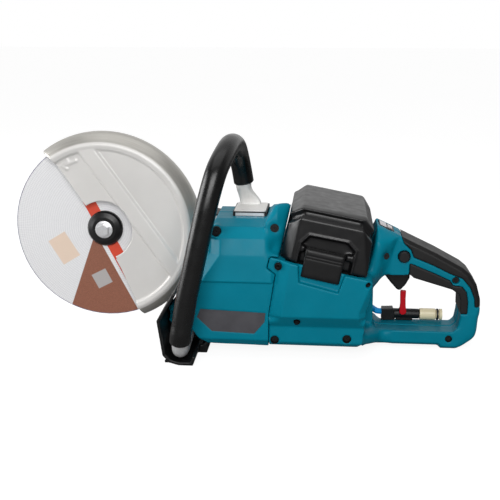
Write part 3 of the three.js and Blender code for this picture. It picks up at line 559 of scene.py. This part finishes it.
def shoulder_softness(x, y, z):
    return step(28, 36, x) * step(122, 132, z) * step(-30, -40, y)


def rear_softness(x, y, z):
    """Neck, foot of the handle bar and the rear corner of the handle."""
    neck = step(150, 158, x) * step(84, 92, z) * step(152, 146, z) * step(182, 172, x)
    flare = step(146, 152, x) * step(186, 176, x) * step(34, 28, z) * step(-16, -24, y)
    return np.maximum.reduce([neck, flare, step(262, 270, x) * step(46, 38, z) * 0.8])


def even(weight):
    return lambda x, y, z: np.full_like(x, weight)


# Node, voxel size in mm, smoothing rounds, relief, softness.
for spec in (
    ("motor_housing_left", 1.12, 3, motor_relief, shoulder_softness),
    ("rear_housing_left", 1.15, 3, rear_relief, rear_softness),
    ("motor_housing_right", 1.5, 2), ("rear_housing_right", 1.6, 2),
    ("battery_cover", 1.12, 3, cover_relief, even(0.12)),
    ("cover_latch", 0.7, 6, latch_relief, even(0.35)),
    ("trigger", 0.7, 4), ("grip_outer", 0.9, 3), ("grip_inner", 0.9, 3), ("front_skid", 1.0, 2),
    ("belt_cover", 1.4, 3), ("cutting_arm", 1.5, 2), ("valve_lever", 0.5, 3), ("valve_body", 0.6, 2),
):
    moulded(*spec)


def rounded_plate(name, corners, radius, place, height, edge):
    """A flat plate with rounded corners and a rounded upper edge; place maps (a, b, height) to design mm."""
    corners = np.array(corners, float)
    n = len(corners)

    def outline(shrink):
        out = []
        for i in range(n):
            c, before, after = corners[i], corners[i - 1], corners[(i + 1) % n]
            u, v = before - c, after - c
            u, v = u / np.linalg.norm(u), v / np.linalg.norm(v)
            half = math.acos(np.clip(u @ v, -1, 1)) / 2
            r = max(radius - shrink, 0.05)
            reach = (shrink + r) / math.sin(half)
            mid = c + (u + v) / np.linalg.norm(u + v) * reach
            p0 = c + u * (reach * math.cos(half)) - mid
            p1 = c + v * (reach * math.cos(half)) - mid
            t0, t1 = math.atan2(p0[1], p0[0]), math.atan2(p1[1], p1[0])
            d = (t1 - t0 + math.pi) % (2 * math.pi) - math.pi
            out += [mid + r * np.array([math.cos(t0 + d * k / 6), math.sin(t0 + d * k / 6)]) for k in range(7)]
        return out

    flat = height - edge
    levels = [(0.0, 0.0), (0.0, flat)]
    levels += [(edge * (1 - math.cos(a)), flat + edge * math.sin(a)) for a in (0.4, 0.8, 1.2, math.pi / 2)]
    return mesh_piece(name, *loft([[row(place(a, b, h)) for a, b in outline(shrink)] for shrink, h in levels]))


def slope(u, y, v):
    """A point on the rear housing's top slope: u rearwards along it, v off it."""
    return (162.6 + u * 0.9059 + v * 0.4235, y, 155.4 - u * 0.4235 + v * 0.9059)


LENS = [(3.9, -11.4), (12.7, -11.4), (12.7, 11.4), (3.9, 11.4)]
lens = rounded_plate("panel_lens", LENS, 1.6, lambda a, b, c: slope(a, b, 0.3 + c), 0.6, 0.3)
dress(lens, "body", "bright_steel", paint="lens_grey")


# ---------------------------------------------------------------- screw wells
def well(name, x, z, r, y0, y1, screw):
    """Black sheet lining a screw well from its mouth y0 to its floor y1, as painted shade of the hole, with a plain
    screw head where none is fitted.
    """
    ring = np.linspace(0, 2 * math.pi, 36, endpoint=False)
    profile = [(r, y0 + 0.3), (r - 0.2, y0), (r - 0.5, y0 + 0.3), (r - 0.5, y1 - 0.05), (r, y1 - 0.05)]
    if screw:
        head = [(r - 0.5, y1 - 2.4), (r - 1.1, y1 - 3.0), (1.4, y1 - 3.2), (1.1, y1 - 2.2), (0.2, y1 - 2.2)]
        profile = profile[:3] + head + [(0.2, y1 - 0.05), (r, y1 - 0.05)]
    rings = [[row((x + a * math.cos(t), y, z + a * math.sin(t))) for a, y in profile] for t in ring]
    # The black walls of the well are painted shade inside the hole.
    dress(mesh_piece(name, *loft(rings, caps=False, wrap=True)), "body", "inner_black")


for spec in (
    ("well_motor_front", -27.6, 153.5, 5.9, -62.6, -58.2, False),
    ("well_bottom_front", 42.4, 22.2, 5.1, -67.4, -60.2, False),
    ("well_bottom_rear", 128.6, 25.7, 5.1, -67.4, -60.2, False),
    ("well_grip_bottom", 254.2, 13.4, 4.3, -22.8, -17.2, False),
    ("well_bay_low", 69.2, 48.5, 3.9, -74.4, -66.4, True),
    ("well_bay_front", 46.5, 116.8, 4.3, -78.0, -74.2, True),
    ("well_bay_rear", 152.1, 97.0, 3.7, -76.0, -72.2, True),
):
    well(*spec)


# ---------------------------------------------------------------- front handle
def curve_points(points, per=14):
    """Centripetal Catmull-Rom through the points, as the handle's own bends run."""
    q = np.array(points, float)
    q = np.vstack([2 * q[0] - q[1], q, 2 * q[-1] - q[-2]])
    out = []
    for i in range(1, len(q) - 2):
        p0, p1, p2, p3 = q[i - 1], q[i], q[i + 1], q[i + 2]
        t0 = 0.0
        t1 = t0 + max(np.linalg.norm(p1 - p0) ** 0.5, 1e-6)
        t2 = t1 + max(np.linalg.norm(p2 - p1) ** 0.5, 1e-6)
        t3 = t2 + max(np.linalg.norm(p3 - p2) ** 0.5, 1e-6)
        for t in np.linspace(t1, t2, per, endpoint=False):
            a1 = (t1 - t) / (t1 - t0) * p0 + (t - t0) / (t1 - t0) * p1
            a2 = (t2 - t) / (t2 - t1) * p1 + (t - t1) / (t2 - t1) * p2
            a3 = (t3 - t) / (t3 - t2) * p2 + (t - t2) / (t3 - t2) * p3
            b1 = (t2 - t) / (t2 - t0) * a1 + (t - t0) / (t2 - t0) * a2
            b2 = (t3 - t) / (t3 - t1) * a2 + (t - t1) / (t3 - t1) * a3
            out.append((t2 - t) / (t2 - t1) * b1 + (t - t1) / (t2 - t1) * b2)
    out.append(q[-2])
    return np.array(out)


def swept(name, path, radii, sides=32):
    """A round tube along path with its own radius at each point, closed at both ends."""
    path = np.array(path, float)
    tangents = np.gradient(path, axis=0)
    tangents /= np.linalg.norm(tangents, axis=1)[:, None]
    up = np.array([0.0, 1.0, 0.0]) if abs(tangents[0][1]) < 0.9 else np.array([0.0, 0.0, 1.0])
    rings = []
    for p, t, r in zip(path, tangents, radii):
        side = np.cross(up, t)
        side /= np.linalg.norm(side)
        up = np.cross(t, side)
        angles = np.linspace(0, 2 * math.pi, sides, endpoint=False)
        rings.append([row(p + r * (math.cos(a) * side + math.sin(a) * up)) for a in angles])
    return mesh_piece(name, *loft(rings))


TUBE_PATH = [
    (-69, -34, 15), (-68.5, -60, 15), (-67.5, -88, 16), (-65.5, -107, 24), (-63.8, -115, 40), (-61.2, -115, 56),
    (-56, -115, 85.5), (-49.7, -115, 113), (-40, -115, 156.6), (-30, -112, 200.7), (-21.6, -101, 232), (-15, -76, 248),
    (-11.5, -44, 253.4), (-9, -12, 247), (-7.4, 8, 232), (-4.6, 18, 212), (-1.6, 21, 192),
]


FOOT_X, FOOT_Y = 6.0, 20.9  # where the tube's flattened end stands on its plate
FOOT_PLATE = [(-10.6, -19.6), (27.8, -19.6), (27.8, 29.6), (-10.6, 29.6)]
FOOT_PLATE_Z = 168.5


def squircle(a, power):
    """A point of the unit superellipse, round at power 2 and squarer above it."""
    ca, sa = math.cos(a), math.sin(a)
    return math.copysign(abs(ca) ** (2 / power), ca), math.copysign(abs(sa) ** (2 / power), sa)


def front_handle():
    """The sleeve, the bare tube below it, and the flattened foot on its plate above the motor housing."""
    line = curve_points(TUBE_PATH)
    low = np.argmax((line[:, 2] > 33) & (line[:, 1] < -100))
    high = len(line) - 1 - np.argmax((line[::-1, 2] > 196.0))
    body = line[low : high + 1]
    run = np.concatenate([[0], np.cumsum(np.linalg.norm(np.diff(body, axis=0), axis=1))])
    ends = np.minimum(run, run[-1] - run)
    lip = SLEEVE_RADIUS - 1.3 * (1 - np.sqrt(np.clip(1 - (1 - np.clip(ends / 1.6, 0, 1)) ** 2, 0, 1)))
    dress(swept("sleeve", body, lip, 40), "body", "sleeve_rubber", ["handle_sleeve"])
    bare = line[: low + 6]
    dress(swept("tube_lower", bare, np.full(len(bare), TUBE_RADIUS)), "body", "bright_steel", ["handle_tube"])
    rings = []
    for f in np.linspace(0, 1, 40):
        z = 200.0 - 29.0 * f
        cx = -2.6 + 8.6 * step(0.25, 1.0, f)
        hx = 9.4 + 3.6 * step(0.3, 1.0, f)
        hy = 9.4 - 5.6 * step(0.15, 0.85, f)
        power = 2.0 + 2.6 * f
        cy = 20.3 + 0.6 * f
        shape = [squircle(a, power) for a in np.linspace(0, 2 * math.pi, 48, endpoint=False)]
        rings.append([row((cx + hx * a, cy + hy * b, z)) for a, b in shape])
    for z, kx, ky in ((170.4, 1.02, 1.12), (169.6, 1.03, 1.18)):
        last = [design(v) for v in rings[-1]]
        rings.append([row(((v[0] - FOOT_X) * kx + FOOT_X, (v[1] - FOOT_Y) * ky + FOOT_Y, z)) for v in last])
    dress(mesh_piece("tube_foot", *loft(rings)), "body", "bright_steel", paint="pressed_steel")
    plate = rounded_plate("foot_plate", FOOT_PLATE, 3.0, lambda a, b, c: (a, b, FOOT_PLATE_Z + c), 1.3, 0.5)
    dress(plate, "body", "bright_steel", paint="pressed_steel")


front_handle()

# ---------------------------------------------------------------- CAD nodes that show as they are
# Widths in mm; every other node gets a plain 0.35 mm edge.
BEVELS = {"hose_connector": 0.5, "rating_plate": 0.3, "control_panel": 0.5, "outer_flange": 0.6, "wheel_bolt": 0.5}
for name, node in NODES.items():
    paint = "lens_grey" if name == "power_button" else SLOTS[name]
    node.data.materials.clear()
    node.data.materials.append(MATERIALS[paint])
    if not node.hide_render:
        bevelled(node, BEVELS.get(name, 0.35), 3 if name in BEVELS else 2)
        if name == "water_hose":
            node.data.shade_smooth()


# ---------------------------------------------------------------- studio
LAMPS = (  # name, place, aim, size in metres, power in watts
    ("top", (0.0, -0.1, 1.4), (0.0, 0.0, 0.1), (1.5, 1.1), 5.0),
    ("left", (-1.5, -0.05, 0.45), (0.0, 0.0, 0.12), (1.0, 0.9), 19.0),
    ("front", (0.1, -1.78, 0.95), (0.0, 0.0, 0.1), (1.4, 1.1), 31.0),
)
CAMERA, AIM, FOCAL = (0.10299, -1.0687, 0.4113), (0.00795, 0.01765, 0.115), 65.16  # fitted to the photograph
FLOOR, FLOOR_Z = 8.0, -0.0006  # half width and height, metres


def facing(spot, aim):
    return (Vector(aim) - Vector(spot)).to_track_quat("-Z", "Y").to_euler()


def studio():
    """White floor and world, a weak panel overhead, one on the left and a strong one in front, and the camera."""
    scene = bpy.context.scene
    scene.view_settings.view_transform = "Standard"
    world = bpy.data.worlds.new("studio")
    world.use_nodes = True
    tree = world.node_tree
    tree.nodes.clear()
    out = tree.nodes.new("ShaderNodeOutputWorld")
    coord = tree.nodes.new("ShaderNodeTexCoord")
    split = tree.nodes.new("ShaderNodeSeparateXYZ")
    tree.links.new(coord.outputs["Generated"], split.inputs[0])
    ramp = tree.nodes.new("ShaderNodeMapRange")
    for k, v in enumerate((-0.1, 0.9, 0.12, 0.86), start=1):
        ramp.inputs[k].default_value = v
    tree.links.new(split.outputs[1], ramp.inputs[0])
    lit = tree.nodes.new("ShaderNodeBackground")
    tree.links.new(ramp.outputs[0], lit.inputs[1])
    seen = tree.nodes.new("ShaderNodeBackground")
    seen.inputs[1].default_value = 1.0
    for node in (lit, seen):
        node.inputs[0].default_value = (1.0, 1.0, 1.0, 1.0)
    path = tree.nodes.new("ShaderNodeLightPath")
    mix = tree.nodes.new("ShaderNodeMixShader")
    tree.links.new(path.outputs["Is Camera Ray"], mix.inputs[0])
    tree.links.new(lit.outputs[0], mix.inputs[1])
    tree.links.new(seen.outputs[0], mix.inputs[2])
    tree.links.new(mix.outputs[0], out.inputs[0])
    scene.world = world

    mesh = bpy.data.meshes.new("floor")
    corners = [(FLOOR * a, FLOOR * b, FLOOR_Z) for a, b in ((-1, -1), (1, -1), (1, 1), (-1, 1))]
    mesh.from_pydata(corners, [], [(0, 1, 2, 3)])
    floor = bpy.data.objects.new("floor", mesh)
    s = Shader("floor", 0.95)
    s.colour(s.mix(s.noise(2.0, 2.0), (0.21, 0.21, 0.21), (0.23, 0.23, 0.23)))
    s.bsdf.inputs["Specular IOR Level"].default_value = 0.1
    s.bsdf.inputs["Emission Color"].default_value = (1.0, 1.0, 1.0, 1.0)
    light = s.new("ShaderNodeLightPath")
    s.link(s.math("MULTIPLY", light.outputs["Is Camera Ray"], 0.89), s.bsdf.inputs["Emission Strength"])
    mesh.materials.append(MATERIALS["floor"])
    scene.collection.objects.link(floor)
    for name, spot, aim, size, power in LAMPS:
        lamp = bpy.data.lights.new(name, "AREA")
        lamp.shape = "RECTANGLE"
        lamp.size, lamp.size_y = size
        lamp.energy = power
        obj = bpy.data.objects.new(name, lamp)
        obj.location = spot
        obj.rotation_euler = facing(spot, aim)
        scene.collection.objects.link(obj)
    cam = bpy.data.cameras.new("camera")
    cam.lens, cam.sensor_width = FOCAL, 36.0
    cam.clip_start, cam.clip_end = 0.05, 30.0
    obj = bpy.data.objects.new("camera", cam)
    obj.location = CAMERA
    obj.rotation_euler = facing(CAMERA, AIM)
    scene.collection.objects.link(obj)
    scene.camera = obj


studio()
